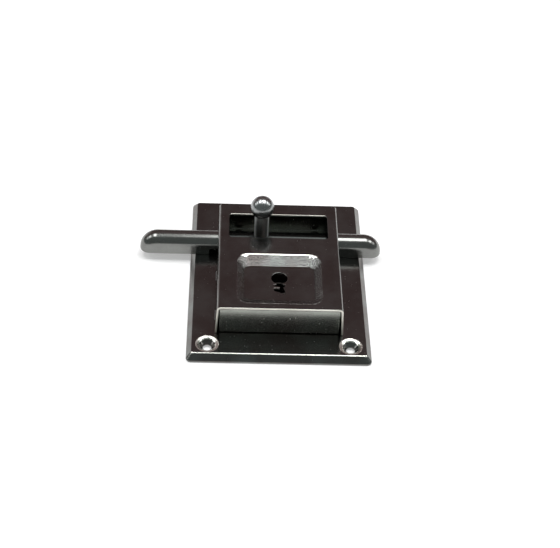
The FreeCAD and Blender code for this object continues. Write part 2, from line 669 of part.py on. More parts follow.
def rivet_places():
    """Names, radii and places of the round holes for what is fixed in the back plate."""
    places = [
        ("catch_pin", "pin_hole_radius", "-catch_pivot_reach", "catch_pivot_y"),
        ("catch_spring_post", "post_hole_radius", "-post_reach", "post_y"),
        ("bush", "bush_hole_radius", "0", "keyhole_y"),
    ]
    for side, sign in SIDES:
        wall = sign + "wall_rivet_reach"
        places.append(("front_wall_rivet_" + side, "rivet_hole_radius", wall, "front_rivet_y"))
        places.append(("rear_wall_rivet_" + side, "rivet_hole_radius", wall, "rear_rivet_y"))
        places.append(("dog_pin_" + side, "rivet_hole_radius", sign + "guide_reach", "guide_line"))
    return places


def tenon_holes(name, length, height):
    """Square holes for the tenons of the ward plate's posts."""
    return [square_bar("%s_tenon_hole_%s" % (name, side), "ward_tenon_hole", length,
                       sign + "ward_post_reach", "ward_post_y", height)
            for side, sign in SIDES]


def tab_slots():
    """Slots in the back plate that the cover's tabs pass through."""
    slots = []
    for end in ("front", "rear"):
        for side, sign in SIDES:
            slot = box("tab_slot_%s_%s" % (end, side), "tab_slot_width", "tab_slot_length",
                       "plate_height", sign + "tab_slot_inner", "tab_slot_y_" + end, "0")
            if side == "left":
                slot.setExpression("Placement.Base.x", "-sizes.wall_outer - sizes.tab_play")
            slots.append(slot)
    return slots


def cover_channel(body):
    """Sheet folded into a U with its side walls leaning out, then its four bends."""
    profile = (
        ("-wall_outer", "plate_height"), ("-case_half", "case_top"),
        ("case_half", "case_top"), ("wall_outer", "plate_height"),
        ("wall_inner", "plate_height"), ("case_inner", "case_under"),
        ("-case_inner", "case_under"), ("-wall_inner", "plate_height"),
    )
    section = outline(body, "cover_section", "XZ_Plane", "case_front", profile)
    pad(body, "channel", section, "case_depth", reverse=True)
    fillet(body, "outer_bends", "cover_bend",
           lambda edge: runs_along(edge, "y") and lies_at(edge, "case_top"))
    fillet(body, "inner_bends", "bend_inner",
           lambda edge: runs_along(edge, "y") and lies_at(edge, "case_under")
           and is_at(abs(edge.Vertexes[0].X), "case_inner"))


def cover_dish(body):
    """Dish pressed into the cover: its back is added below, its hollow cut from above."""
    mouth = ("-dish_half_x", "dish_half_x", "dish_front", "dish_rear")
    back = rectangle(body, "dish_back_mouth", "XY_Plane", "case_under", *mouth)
    back_floor = rectangle(body, "dish_back_floor", "XY_Plane", "floor_under",
                           "-dish_back_half_x", "dish_back_half_x",
                           "dish_back_front", "dish_back_rear")
    loft(body, "dish_back", "PartDesign::AdditiveLoft", back, back_floor)
    front = rounded(body, "dish_mouth", "XY_Plane", "case_top", *mouth, "dish_corner")
    floor = rounded(body, "dish_floor", "XY_Plane", "floor_top", "-floor_half_x", "floor_half_x",
                    "floor_front", "floor_rear", "dish_floor_corner")
    loft(body, "dish", "PartDesign::SubtractiveLoft", front, floor)
    fillet(body, "dish_floor_bend", "dish_floor_round", lambda edge: lies_at(edge, "floor_top"))
    fillet(body, "dish_lip", "dish_lip_round", is_dish_lip)


def is_dish_lip(edge):
    """Whether an edge belongs to the dish's mouth on top of the cover."""
    if not lies_at(edge, "case_top"):
        return False
    return all(abs(corner.X) < number("dish_half_x") + NEAR
               and number("dish_front") - NEAR < corner.Y < number("dish_rear") + NEAR
               for corner in edge.Vertexes)


def keyhole(body, bore, width_half, start, end, level):
    """Round hole and warded slot for the bit, seen from above."""
    cut(body, "keyhole_bore", disc(body, "keyhole_circle", "XY_Plane", level, "0", "keyhole_y", bore))
    wards = (
        ("-neck_half", start), ("-neck_half", "ward_y_1"), ("-" + width_half, "ward_y_1"),
        ("-" + width_half, "ward_y_2"), ("ward_left", "ward_y_3"), ("ward_left", "ward_y_4"),
        ("-" + width_half, "ward_y_4"), ("-" + width_half, "ward_y_5"), (width_half, end),
        (width_half, "ward_y_5"), ("ward_right", "ward_y_4"), ("ward_right", "ward_y_3"),
        (width_half, "ward_y_3"), (width_half, "ward_y_1"), ("neck_half", "ward_y_1"),
        ("neck_half", start),
    )
    cut(body, "keyhole_slot", outline(body, "keyhole_wards", "XY_Plane", level, wards))


def cover_tabs(body):
    """Four tabs that pass through the back plate and are turned in below it."""
    for end in ("front", "rear"):
        for side, sign in SIDES:
            name = "tab_%s_%s" % (end, side)
            bent = (
                (sign + "wall_inner", "plate_height"), (sign + "wall_inner", "plate_under"),
                (sign + "tab_turned", "plate_under"), (sign + "tab_turned", "tab_foot"),
                (sign + "wall_outer", "tab_foot"), (sign + "wall_outer", "plate_height"),
            )
            section = outline(body, name + "_section", "XZ_Plane", "tab_start_" + end, bent)
            pad(body, name, section, "tab_length", reverse=True)


def case_cover():
    """Folded cover with dish, keyhole, knob slot, openings for the bolt and clinch tabs."""
    body = new_body("cover")
    cover_channel(body)
    cover_dish(body)
    keyhole(body, "keyhole_radius", "ward_half", "ward_start", "ward_tip", "case_top")
    window = rounded(body, "knob_window", "XY_Plane", "case_top", "-slot_half", "slot_half",
                     "slot_front", "slot_rear", "slot_corner")
    cut(body, "knob_slot", window)
    door = rounded(body, "bolt_door", "YZ_Plane", "0", "door_front", "door_rear",
                   "-door_foot", "door_top", "door_round")
    cut(body, "bolt_doors", door, both=True)
    cover_tabs(body)
    return add_node("case_cover", body)


def end_wall(end):
    """Bent sheet that closes one end of the cover, standing on a foot that points inwards."""
    outer, inner, foot = end + "_outer", end + "_inner", end + "_foot"
    body = new_body(end + "_sheet")
    angle = (
        (outer, "plate_height"), (outer, "wall_top"), (inner, "wall_top"),
        (inner, "foot_top"), (foot, "foot_top"), (foot, "plate_height"),
    )
    pad(body, end + "_angle", outline(body, end + "_section", "YZ_Plane", "0", angle),
        "wall_length", both=True)
    fillet(body, end + "_outer_bend", "wall_bend",
           lambda edge: runs_along(edge, "x") and lies_at(edge, "plate_height")
           and is_at(edge.Vertexes[0].Y, outer))
    fillet(body, end + "_inner_bend", "wall_bend_inner",
           lambda edge: runs_along(edge, "x") and lies_at(edge, "foot_top")
           and is_at(edge.Vertexes[0].Y, inner))
    holes = [cylinder("%s_wall_hole_%s" % (end, side), "rivet_hole_radius", "foot_top",
                      sign + "wall_rivet_reach", end + "_rivet_y", "0")
             for side, sign in SIDES]
    return add_node(end + "_wall", subtract(end + "_wall", body, holes))


def stud(name, radius, across, deep, top):
    """Round shank from the underside of the back plate up to a cell's height."""
    shank = cylinder(name, radius, "0", across, deep, "plate_under")
    shank.setExpression("Height", "%s - %s" % (formula(top), formula("plate_under")))
    return shank


def headed_pin(name, radius, across, deep):
    """Pin with a flat head just above the pieces that move on it."""
    head = cylinder(name + "_head", "pin_head_radius", "pin_head_rise",
                    across, deep, "pin_head_foot")
    shank = stud(name + "_shank", radius, across, deep, "pin_head_foot")
    return add_node(name, fuse(name, [shank, head]))


def wall_rivets():
    """Two rivets through the foot of each end wall, filed flush."""
    for end in ("front", "rear"):
        for side, sign in SIDES:
            name = "%s_wall_rivet_%s" % (end, side)
            add_node(name, stud(name, "rivet_radius", sign + "wall_rivet_reach",
                                end + "_rivet_y", "foot_top"))


def bolt():
    """Bar with a round back and quarter-round ends, two locking notches and the knob's seat."""
    body = new_body("bar")
    side = (
        ("bolt_left", "bolt_foot"), ("bolt_right", "bolt_foot"),
        ("bolt_right", "bolt_top"), ("bolt_left", "bolt_top"),
    )
    pad(body, "bar_block", outline(body, "bar_side", "XZ_Plane", "-bolt_line", side),
        "bolt_width", both=True)
    fillet(body, "bar_ends", "bolt_end_round",
           lambda edge: runs_along(edge, "y") and lies_at(edge, "bolt_top"))
    fillet(body, "bar_back", "bolt_back_round",
           lambda edge: not runs_along(edge, "y") and not lies_at(edge, "bolt_foot"))
    tools = []
    for name in ("notch_left", "notch_right"):
        tools.append(box(name + "_block", "notch_width", "notch_depth", "notch_height",
                         name, "bolt_front", "bolt_foot"))
    tools.append(cylinder("stem_hole", "stem_hole_radius", "bolt_height",
                          "knob_x", "bolt_line", "stem_foot"))
    tools.append(cylinder("spigot_hole", "spigot_hole_radius", "bolt_height",
                          "knob_x", "bolt_line", "bolt_foot"))
    return add_node("bolt", subtract("bolt", body, tools))


def knob():
    """Turned ball on a stem that is seated in the bolt's back and riveted through it."""
    ball = doc.addObject("Part::Sphere", "ball")
    bind(ball, "Radius", "ball_radius")
    place(ball, "knob_x", "bolt_line", "ball_height")
    stem = cylinder("stem", "stem_radius", "stem_length", "knob_x", "bolt_line", "stem_foot")
    spigot = cylinder("spigot", "spigot_radius", "spigot_length",
                      "knob_x", "bolt_line", "bolt_foot")
    return add_node("knob", fuse("knob", [ball, stem, spigot]))


def dog():
    """Plate that the bit pushes: tongue, shoulders, ear and arm, seen from above."""
    body = new_body("dog_plate")
    shape = (
        ("-tongue_half", "dog_tip"), ("-tongue_half", "dog_shoulder"),
        ("-dog_left_reach", "dog_shoulder"), ("-dog_left_reach", "nick_rear"),
        ("-nick_floor", "nick_line"), ("-dog_left_reach", "nick_front"),
        ("-dog_left_reach", "nick_two_rear"), ("-nick_floor", "nick_two_line"),
        ("-dog_left_reach", "nick_two_front"), ("-dog_left_reach", "-ear_end"),
        ("-arm_inner", "-ear_end"), ("-arm_inner", "dog_rear"), ("arm_inner", "dog_rear"),
        ("arm_inner", "talon_rear"), ("talon_floor", "talon_rear"),
        ("talon_floor", "talon_front"), ("arm_inner", "talon_front"), ("arm_inner", "arm_end"),
        ("arm_outer", "arm_end"), ("arm_outer", "dog_shoulder"),
        ("tongue_half", "dog_shoulder"), ("tongue_half", "dog_tip"),
    )
    pad(body, "dog_blank", outline(body, "dog_outline", "XY_Plane", "dog_foot", shape),
        "dog_sheet")
    ends = {"left": ("-guide_slot_right", "-guide_slot_left"),
            "right": ("guide_slot_left", "guide_slot_right")}
    for side, (low, high) in ends.items():
        slot = rectangle(body, "guide_%s_outline" % side, "XY_Plane", "dog_top", low, high,
                         "guide_slot_front", "guide_slot_rear")
        cut(body, "guide_" + side, slot)
    return add_node("dog", body)


def dog_pins():
    """Headed pins that the dog slides on."""
    for side, sign in SIDES:
        headed_pin("dog_pin_" + side, "guide_radius", sign + "guide_reach", "guide_line")


def catch_lever():
    """Lever whose nib falls into the dog's nicks; it turns on a pin beside the keyhole."""
    body = new_body("catch_plate")
    shape = (
        ("-catch_foot_x", "catch_foot_y"), ("-catch_face", "catch_root_y"),
        ("-catch_face", "nib_front"), ("-catch_tip", "nick_line"), ("-catch_face", "nib_rear"),
        ("-catch_face", "catch_end"), ("-catch_back", "catch_end"),
        ("-catch_back", "catch_root_y"), ("-catch_back", "catch_foot_y"),
    )
    pad(body, "catch_bar", outline(body, "catch_outline", "XY_Plane", "dog_foot", shape),
        "dog_sheet")
    eye = disc(body, "catch_eye_outline", "XY_Plane", "dog_foot",
               "-catch_pivot_reach", "catch_pivot_y", "catch_eye_radius")
    pad(body, "catch_eye", eye, "dog_sheet")
    hole = disc(body, "catch_hole_outline", "XY_Plane", "dog_top",
                "-catch_pivot_reach", "catch_pivot_y", "catch_hole_radius")
    cut(body, "catch_hole", hole)
    return add_node("catch_lever", body)


def catch_spring():
    """Leaf rolled round its post, bowed, with its tip on the back of the catch."""
    body = new_body("catch_leaf")
    bow = (
        ("-leaf_root_outer", "post_y"), ("-leaf_root_inner", "post_y"),
        ("-leaf_bow_inner", "leaf_bow_y"), ("-leaf_tip_inner", "leaf_tip_y"),
        ("-leaf_tip_outer", "leaf_tip_y"), ("-leaf_bow_outer", "leaf_bow_y"),
    )
    pad(body, "catch_leaf_strip", outline(body, "catch_leaf_bow", "XY_Plane", "dog_foot", bow),
        "dog_sheet")
    place_of_eye = ("XY_Plane", "dog_foot", "-post_reach", "post_y")
    pad(body, "catch_leaf_eye", disc(body, "catch_leaf_ring", *place_of_eye, "leaf_eye_radius"),
        "dog_sheet")
    hole = disc(body, "catch_leaf_hole", "XY_Plane", "dog_top", "-post_reach", "post_y",
                "post_hole_radius")
    cut(body, "catch_leaf_bore", hole)
    add_node("catch_spring", body)
    add_node("catch_spring_post", stud("catch_spring_post", "post_radius", "-post_reach",
                                       "post_y", "dog_top"))


def bolt_spring():
    """Leaf fixed under the cover between slot and dish, its bend resting on the bolt's front."""
    body = new_body("bolt_leaf")
    bend = (
        ("leaf_start", "case_under"), ("leaf_start", "leaf_top"), ("leaf_bend", "leaf_top"),
        ("leaf_touch_back", "leaf_touch_rise"), ("leaf_toe_back", "leaf_toe_rise"),
        ("leaf_toe", "leaf_toe_rise"), ("leaf_touch", "leaf_touch_rise"),
        ("leaf_bend", "case_under"),
    )
    pad(body, "bolt_leaf_strip", outline(body, "bolt_leaf_bend", "YZ_Plane", "0", bend),
        "bolt_spring_width", both=True)
    return add_node("bolt_spring", body)


def ward_plate():
    """Plate on two square posts that only a bit with the right notch can turn past."""
    body = new_body("ward_sheet")
    blank = (
        ("-ward_plate_reach", "-ward_plate_front"), ("ward_plate_reach", "-ward_plate_front"),
        ("ward_plate_reach", "-ward_plate_rear"), ("-ward_plate_reach", "-ward_plate_rear"),
    )
    pad(body, "ward_blank", outline(body, "ward_outline", "XY_Plane", "ward_plate_foot", blank),
        "ward_plate_sheet")
    keyhole(body, "ward_plate_radius", "ward_slot_half", "ward_slot_start", "ward_slot_end",
            "case_top")
    holes = tenon_holes("ward_plate", "case_top", "0")
    add_node("ward_plate", subtract("ward_plate", body, holes))
    for side, sign in SIDES:
        ward_post("ward_post_" + side, sign + "ward_post_reach")


def ward_post(name, across):
    """Square post with a tenon through the ward plate and one through the back plate."""
    post = square_bar(name + "_bar", "ward_post_width", "ward_plate_rise",
                      across, "ward_post_y", "plate_height")
    tenon = square_bar(name + "_tenon", "ward_tenon", "ward_tenon_length",
                       across, "ward_post_y", "plate_under")
    return add_node(name, fuse(name, [post, tenon]))


def keyhole_bush():
    """Bush swaged into the back plate in line with the keyhole."""
    bush = cylinder("bush_barrel", "bush_radius", "bush_length", "0", "keyhole_y", "plate_under")
    hole = cylinder("bush_bore", "bush_bore_radius", "bush_length", "0", "keyhole_y", "plate_under")
    return add_node("keyhole_bush", subtract("keyhole_bush", bush, [hole]))


def check_model():
    """Stop if any object failed or any sub-part isn't one valid solid."""
    for item in doc.Objects:
        if "Invalid" in item.State or "Error" in item.State:
            raise RuntimeError("%s failed: %s" % (item.Name, item.State))
    for name, item in nodes:
        shape = item.Shape
        if shape.isNull() or not shape.isValid() or len(shape.Solids) != 1:
            raise RuntimeError("%s is not one valid solid" % name)


def write_files():
    """Write one STEP file for each sub-part."""
    os.makedirs("parts", exist_ok=True)
    for name, item in nodes:
        item.Shape.exportStep("parts/%s.step" % name)
        print("%s %.1f mm3" % (name, item.Shape.Volume))


fill_sheet()
back_plate()
case_cover()
end_wall("front")
end_wall("rear")
wall_rivets()
bolt()
knob()
dog()
dog_pins()
catch_lever()
headed_pin("catch_pin", "catch_pin_radius", "-catch_pivot_reach", "catch_pivot_y")
catch_spring()
bolt_spring()
ward_plate()
keyhole_bush()
doc.recompute()
check_model()
write_files()
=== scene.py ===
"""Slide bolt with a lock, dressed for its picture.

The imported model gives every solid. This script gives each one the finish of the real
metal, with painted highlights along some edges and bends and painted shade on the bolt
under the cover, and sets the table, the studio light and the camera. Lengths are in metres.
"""
from __future__ import annotations

import json
import logging
import math
from dataclasses import dataclass
from enum import Enum
from typing import Any

import bpy
from mathutils import Matrix, Vector

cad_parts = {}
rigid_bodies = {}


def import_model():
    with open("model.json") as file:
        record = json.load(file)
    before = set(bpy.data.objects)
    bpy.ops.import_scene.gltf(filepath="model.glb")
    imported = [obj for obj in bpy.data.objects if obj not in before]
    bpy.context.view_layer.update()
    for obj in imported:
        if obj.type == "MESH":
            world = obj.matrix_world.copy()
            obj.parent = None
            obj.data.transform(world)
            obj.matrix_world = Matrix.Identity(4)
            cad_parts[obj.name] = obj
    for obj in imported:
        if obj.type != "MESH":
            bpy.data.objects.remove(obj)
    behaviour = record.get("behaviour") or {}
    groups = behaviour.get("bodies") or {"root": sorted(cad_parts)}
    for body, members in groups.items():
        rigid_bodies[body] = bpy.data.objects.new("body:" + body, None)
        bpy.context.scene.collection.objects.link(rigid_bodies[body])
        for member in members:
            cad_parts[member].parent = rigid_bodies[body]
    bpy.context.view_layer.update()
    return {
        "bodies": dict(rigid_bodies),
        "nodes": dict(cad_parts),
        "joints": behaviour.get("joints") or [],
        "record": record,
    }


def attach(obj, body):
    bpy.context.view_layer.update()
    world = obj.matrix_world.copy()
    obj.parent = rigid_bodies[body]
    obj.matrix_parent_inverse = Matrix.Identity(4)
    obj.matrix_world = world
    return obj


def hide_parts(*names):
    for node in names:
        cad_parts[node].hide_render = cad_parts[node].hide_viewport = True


LOG = logging.getLogger("slide_bolt")
MM = 0.001
MERGE_MM = 0.002
FLAT_DEGREES = 0.5
SMOOTH_DEGREES = 30.0
DOME_SMOOTH_DEGREES = 40.0


class Facing(Enum):
    """Which way the round side of a rivet's end points."""

    UP = 1.0
    DOWN = -1.0


def linear(code: str) -> tuple[float, float, float, float]:
    """Turn an sRGB hex code into the linear colour that a shader takes.

    Args:
        code: six hex digits with a leading #.

    Returns:
        Linear red, green and blue with an alpha of 1.
    """
    values = [int(code[index:index + 2], 16) / 255 for index in (1, 3, 5)]
    red, green, blue = (
        value / 12.92 if value <= 0.04045 else ((value + 0.055) / 1.055) ** 2.4
        for value in values
    )
    return red, green, blue, 1.0


def add_node(tree: bpy.types.NodeTree, kind: str, settings: dict[str, Any] | None = None,
             links: dict[str | int, bpy.types.NodeSocket] | None = None) -> bpy.types.Node:
    """Add one node, set its fields and sockets and link its inputs.

    Args:
        tree: the material's or world's node tree.
        kind: Blender's name of the node type.
        settings: a field's name, or an input's name with a leading =, and its value.
        links: an input's name or index and the socket that feeds it.

    Returns:
        The new node.
    """
    node = tree.nodes.new(kind)
    for name, value in (settings or {}).items():
        if name.startswith("="):
            key = name[1:]
            node.inputs[int(key) if key.isdigit() else key].default_value = value
        else:
            setattr(node, name, value)
    for name, socket in (links or {}).items():
        tree.links.new(socket, node.inputs[name])
    return node


def map_range(tree: bpy.types.NodeTree, value: bpy.types.NodeSocket, start: float,
              end: float) -> bpy.types.NodeSocket:
    """Make a value that rises from 0 at start to 1 at end."""
    return add_node(tree, "ShaderNodeMapRange", {
        "=From Min": start, "=From Max": end, "=To Min": 0.0, "=To Max": 1.0,
    }, {"Value": value}).outputs["Result"]


def new_tree(block: bpy.types.Material | bpy.types.World) -> bpy.types.NodeTree:
    """Give a material or world an empty node tree."""
    block.use_nodes = True
    block.node_tree.nodes.clear()
    return block.node_tree


@dataclass(frozen=True)
class Zone:
    """Box on a piece, in millimetres of the frame, where its finish changes."""

    low: tuple[float, float, float]
    high: tuple[float, float, float]
    soft: float = 0.04

    def holds(self, point: Vector) -> bool:
        """Whether a point in millimetres lies inside the box."""
        return all(low <= value <= high
                   for low, value, high in zip(self.low, point, self.high))

    def mask(self, tree: bpy.types.NodeTree,
             place: bpy.types.NodeSocket) -> bpy.types.NodeSocket:
        """Make a value that is 1 inside the box and falls to 0 just outside it.

        Args:
            tree: the material's node tree.
            place: Object coordinates.

        Returns:
            The mask's socket.
        """
        middle = tuple((low + high) / 2 * MM for low, high in zip(self.low, self.high))
        half = tuple((high - low) / 2 * MM for low, high in zip(self.low, self.high))
        apart = add_node(tree, "ShaderNodeVectorMath", {"operation": "SUBTRACT", "=1": middle},
                         {0: place}).outputs["Vector"]
        apart = add_node(tree, "ShaderNodeVectorMath", {"operation": "ABSOLUTE"},
                         {0: apart}).outputs["Vector"]
        share = add_node(tree, "ShaderNodeVectorMath", {"operation": "DIVIDE", "=1": half},
                         {0: apart}).outputs["Vector"]
        axes = add_node(tree, "ShaderNodeSeparateXYZ", links={"Vector": share}).outputs
        widest = add_node(tree, "ShaderNodeMath", {"operation": "MAXIMUM"},
                          {0: axes["X"], 1: axes["Y"]}).outputs["Value"]
        widest = add_node(tree, "ShaderNodeMath", {"operation": "MAXIMUM"},
                          {0: widest, 1: axes["Z"]}).outputs["Value"]
        return map_range(tree, widest, 1.0 + self.soft, 1.0 - self.soft)


@dataclass(frozen=True)
class PlatedSteel:
    """Bright plated sheet or bar: steel under a thin nickel coat, a fairly dark mirror.

    The coat follows the steel below, so the reflection waves a little (ripple), and
    handling leaves grain, hairline scratches and specks that scatter light. A thin film
    browns it in clouds. Where the press stretched the sheet, its grain stands out
    (stretched), and the bar under the cover gets a dark colour that is painted shade.
    """

    name: str
    colour: str = "#757775"
    film: str = "#645F5D"
    cloud_mm: float = 14.0
    cloud_range: tuple[float, float] = (0.36, 0.62)
    roughness: float = 0.14
    roughness_spread: float = 0.04
    ripple_mm: float = 3.0
    ripple_height_mm: float = 0.010
    grain_mm: float = 0.45
    grain_height_mm: float = 0.0005
    scratch_mm: float = 0.5
    scratch_stretch: float = 14.0
    scratch_angle: float = 0.5
    scratch_range: tuple[float, float] = (0.62, 0.74)
    scratch_roughness: float = 0.04
    speck_mm: float = 0.9
    speck_range: tuple[float, float] = (0.78, 0.88)
    speck_roughness: float = 0.16
    stretched: Zone | None = None
    stretched_gain: float = 700.0
    # Zone and colour of painted shade: a dark colour on the bar where it lies under the cover
    painted_shade: Zone | None = None
    painted_shade_colour: str = "#282A29"

    def build(self) -> bpy.types.Material:
        """Make the material.

        Returns:
            A node material on Object coordinates.
        """
        material = bpy.data.materials.new(self.name)
        tree = new_tree(material)
        place = add_node(tree, "ShaderNodeTexCoord").outputs["Object"]
        grain = self.noise(tree, place, self.grain_mm, 3.0, 0.6)
        haze = self.noise(tree, place, self.cloud_mm, 4.0, 0.6)
        dull = add_node(tree, "ShaderNodeMath", {"operation": "MULTIPLY", "use_clamp": True},
                        {0: haze, 1: grain}).outputs["Value"]
        shader = add_node(tree, "ShaderNodeBsdfPrincipled", {"=Metallic": 1.0}, {
            "Base Color": self.tint(tree, place, haze),
            "Roughness": self.sheen(tree, place, dull),
            "Normal": self.relief(tree, place, grain),
        })
        add_node(tree, "ShaderNodeOutputMaterial", links={"Surface": shader.outputs["BSDF"]})
        return material

    def noise(self, tree: bpy.types.NodeTree, place: bpy.types.NodeSocket, size_mm: float,
              detail: float, rough: float) -> bpy.types.NodeSocket:
        """Make a noise whose coarsest lumps have the given size."""
        return add_node(tree, "ShaderNodeTexNoise", {
            "=Scale": 1 / (size_mm * MM), "=Detail": detail, "=Roughness": rough,
        }, {"Vector": place}).outputs["Fac"]

    def tint(self, tree: bpy.types.NodeTree, place: bpy.types.NodeSocket,
             haze: bpy.types.NodeSocket) -> bpy.types.NodeSocket:
        """Make the coat's colour, browner in clouds and dark in the zone of painted shade.

        Args:
            tree: the material's node tree.
            place: Object coordinates.
            haze: broad soft noise.

        Returns:
            The colour's socket.
        """
        clouds = map_range(tree, haze, *self.cloud_range)
        colour = add_node(tree, "ShaderNodeMix", {
            "data_type": "RGBA", "=6": linear(self.colour), "=7": linear(self.film),
        }, {0: clouds}).outputs[2]
        if self.painted_shade is None:
            return colour
        # Painted shade: the dark colour laid over the zone of the bar under the cover
        return add_node(tree, "ShaderNodeMix", {
            "data_type": "RGBA", "=7": linear(self.painted_shade_colour),
        }, {0: self.painted_shade.mask(tree, place), 6: colour}).outputs[2]

    def sheen(self, tree: bpy.types.NodeTree, place: bpy.types.NodeSocket,
              dull: bpy.types.NodeSocket) -> bpy.types.NodeSocket:
        """Make the roughness from the dull places, the scratches and the specks.

        Args:
            tree: the material's node tree.
            place: Object coordinates.
            dull: where the coat is dull.

        Returns:
            The roughness's socket.
        """
        turned = add_node(tree, "ShaderNodeMapping", {
            "=Rotation": (0.0, 0.0, self.scratch_angle),
            "=Scale": (1.0, self.scratch_stretch, self.scratch_stretch),
        }, {"Vector": place}).outputs["Vector"]
        scratch = self.noise(tree, turned, self.scratch_mm * self.scratch_stretch, 2.0, 0.7)
        scuffs = map_range(tree, scratch, *self.scratch_range)
        rough = add_node(tree, "ShaderNodeMath", {
            "operation": "MULTIPLY_ADD", "=1": self.roughness_spread * 4, "=2": self.roughness,
        }, {0: dull}).outputs["Value"]
        rough = add_node(tree, "ShaderNodeMath", {
            "operation": "MULTIPLY_ADD", "=1": self.scratch_roughness,
        }, {0: scuffs, 2: rough}).outputs["Value"]
        dots = self.noise(tree, place, self.speck_mm, 0.0, 0.5)
        specks = map_range(tree, dots, *self.speck_range)
        return add_node(tree, "ShaderNodeMath", {
            "operation": "MULTIPLY_ADD", "=1": self.speck_roughness,
        }, {0: specks, 2: rough}).outputs["Value"]

    def relief(self, tree: bpy.types.NodeTree, place: bpy.types.NodeSocket,
               grain: bpy.types.NodeSocket) -> bpy.types.NodeSocket:
        """Make the surface's ripple and grain.

        Args:
            tree: the material's node tree.
            place: Object coordinates.
            grain: the fine grain.

        Returns:
            The normal's socket.
        """
        ripple = self.noise(tree, place, self.ripple_mm, 1.5, 0.4)
        waves = add_node(tree, "ShaderNodeBump", {
            "=Strength": 1.0, "=Distance": self.ripple_height_mm * MM,
        }, {"Height": ripple}).outputs["Normal"]
        if self.stretched is not None:
            gain = add_node(tree, "ShaderNodeMath", {
                "operation": "MULTIPLY_ADD", "=1": self.stretched_gain, "=2": 1.0,
            }, {0: self.stretched.mask(tree, place)}).outputs["Value"]
            grain = add_node(tree, "ShaderNodeMath", {"operation": "MULTIPLY"},
                             {0: grain, 1: gain}).outputs["Value"]
        return add_node(tree, "ShaderNodeBump", {
            "=Strength": 1.0, "=Distance": self.grain_height_mm * MM,
        }, {"Height": grain, "Normal": waves}).outputs["Normal"]


# Zones of the cover: the drawn slopes of the dish, and its rear lip and two sheared edges, which
# carry painted highlights
DISH_SLOPES = Zone((-21.3, -39.9, 17.95), (21.3, -2.9, 20.7))
DISH_REAR_LIP = Zone((-19.5, -4.6, 20.2), (19.5, -2.7, 20.795))
COVER_FRONT_EDGE = Zone((-32.0, -43.6, 3.0), (32.0, -43.15, 21.0))
SLOT_REAR_EDGE = Zone((-24.5, 27.9, 19.6), (24.5, 28.45, 20.79))

# Zones of the back plate with painted highlights: the front fold and the lip round each screw
# hole
PLATE_FRONT_FOLD = Zone((-43.5, -58.6, 3.55), (43.5, -56.6, 3.995))
SINK_LIPS = tuple(Zone((across - 6.2, deep - 6.2, 3.25), (across + 6.2, deep + 6.2, 3.995))
                  for across, deep in ((-34.9, -51.0), (34.9, -51.0), (0.0, 47.5)))

# Zones of the bolt and knob: what stays under the cover, which gets painted shade, the stem, and
# its two sides, which get a painted highlight
BOLT_UNDER_COVER = Zone((-27.0, 10.0, 3.0), (27.0, 30.0, 16.0), soft=0.08)
KNOB_STEM = Zone((-13.0, 10.0, 12.5), (-4.0, 30.0, 26.0))
# The stem's two sides, which carry a painted highlight
STEM_HIGHLIGHT_SIDES = (Zone((-12.6, 10.0, 12.5), (-11.65, 30.0, 26.0)),
              Zone((-5.75, 10.0, 12.5), (-4.8, 30.0, 26.0)))

# Places of the rivets along and across the bolt: wall rivets, dog pins and catch pin
WALL_RIVETS = ((-19.98, -38.7), (19.98, -38.7), (-19.98, 31.7), (19.98, 31.7))
PIN_TAILS = ((-14.2, 0.5), (14.2, 0.5), (-22.8, -17.0))

# A dark, slightly browned mirror with faint specks
PLATE_FINISH = PlatedSteel("bright_nickel_on_pressed_steel")
# The same mirror, with a coarse glitter on the drawn slopes of the dish
COVER_FINISH = PlatedSteel("bright_nickel_on_folded_steel", ripple_mm=4.0,
                           grain_mm=0.75, stretched=DISH_SLOPES)
# A paler, yellower coat that shows the white table in its upper half
WALL_FINISH = PlatedSteel("bright_nickel_on_bent_steel", colour="#A0A39C",
                          film="#969690", roughness=0.18, ripple_mm=5.0)
# A bar with a long soft highlight, with painted shade in black where it lies under the cover
BAR_FINISH = PlatedSteel("bright_nickel_on_drawn_bar", colour="#80827F",
                         film="#767674", roughness=0.16, ripple_mm=5.0,
                         ripple_height_mm=0.006, scratch_angle=0.0, painted_shade=BOLT_UNDER_COVER)
# A smooth silvery ball that shows each lamp as a soft spot
BALL_FINISH = PlatedSteel("bright_nickel_on_turned_ball", colour="#989B9B",
                          film="#8E9090", roughness=0.2,
                          roughness_spread=0.03, ripple_height_mm=0.003)
# A stem that is duller than its ball, with a painted highlight as a pale line down each side
STEM_FINISH = PlatedSteel("dull_nickel_on_turned_stem", colour="#C6C9C7", film="#BEC0BE",
                          roughness=0.34)
# Painted highlight: a near-white line down each side of the stem
STEM_SIDE_HIGHLIGHT = PlatedSteel("painted_highlight_on_stem_side", colour="#F0F1EF", film="#E6E8E6",
                            roughness=0.55)
# Painted highlights: warm white lines along sheared edges, which are also rougher, and whiter
# ones along pressed bends
SHEARED_EDGE_HIGHLIGHT = PlatedSteel("painted_highlight_on_sheared_edge", colour="#EDEBE2", film="#DAD7CE",
                         roughness=0.36, grain_mm=0.3, grain_height_mm=0.004)
BEND_HIGHLIGHT = PlatedSteel("painted_highlight_on_pressed_bend", colour="#ECEDE6", film="#D9DAD2",
                          roughness=0.22, grain_mm=0.3, grain_height_mm=0.001)
# A slightly dull cap on each rivet
RIVET_FINISH = PlatedSteel("bright_nickel_on_headed_rivet", roughness=0.2)
# Dark grey steel without a coat, for the lock work
INNER_FINISH = PlatedSteel("oiled_blanked_steel", colour="#6E6B68", film="#625F5C",
                           roughness=0.3, grain_mm=0.2, grain_height_mm=0.002)


@dataclass(frozen=True)
class FinishPatch:
    """Part of a piece whose faces have a finish of their own, such as a painted highlight along
    an edge or bend.
    """

    zone: Zone
    finish: PlatedSteel


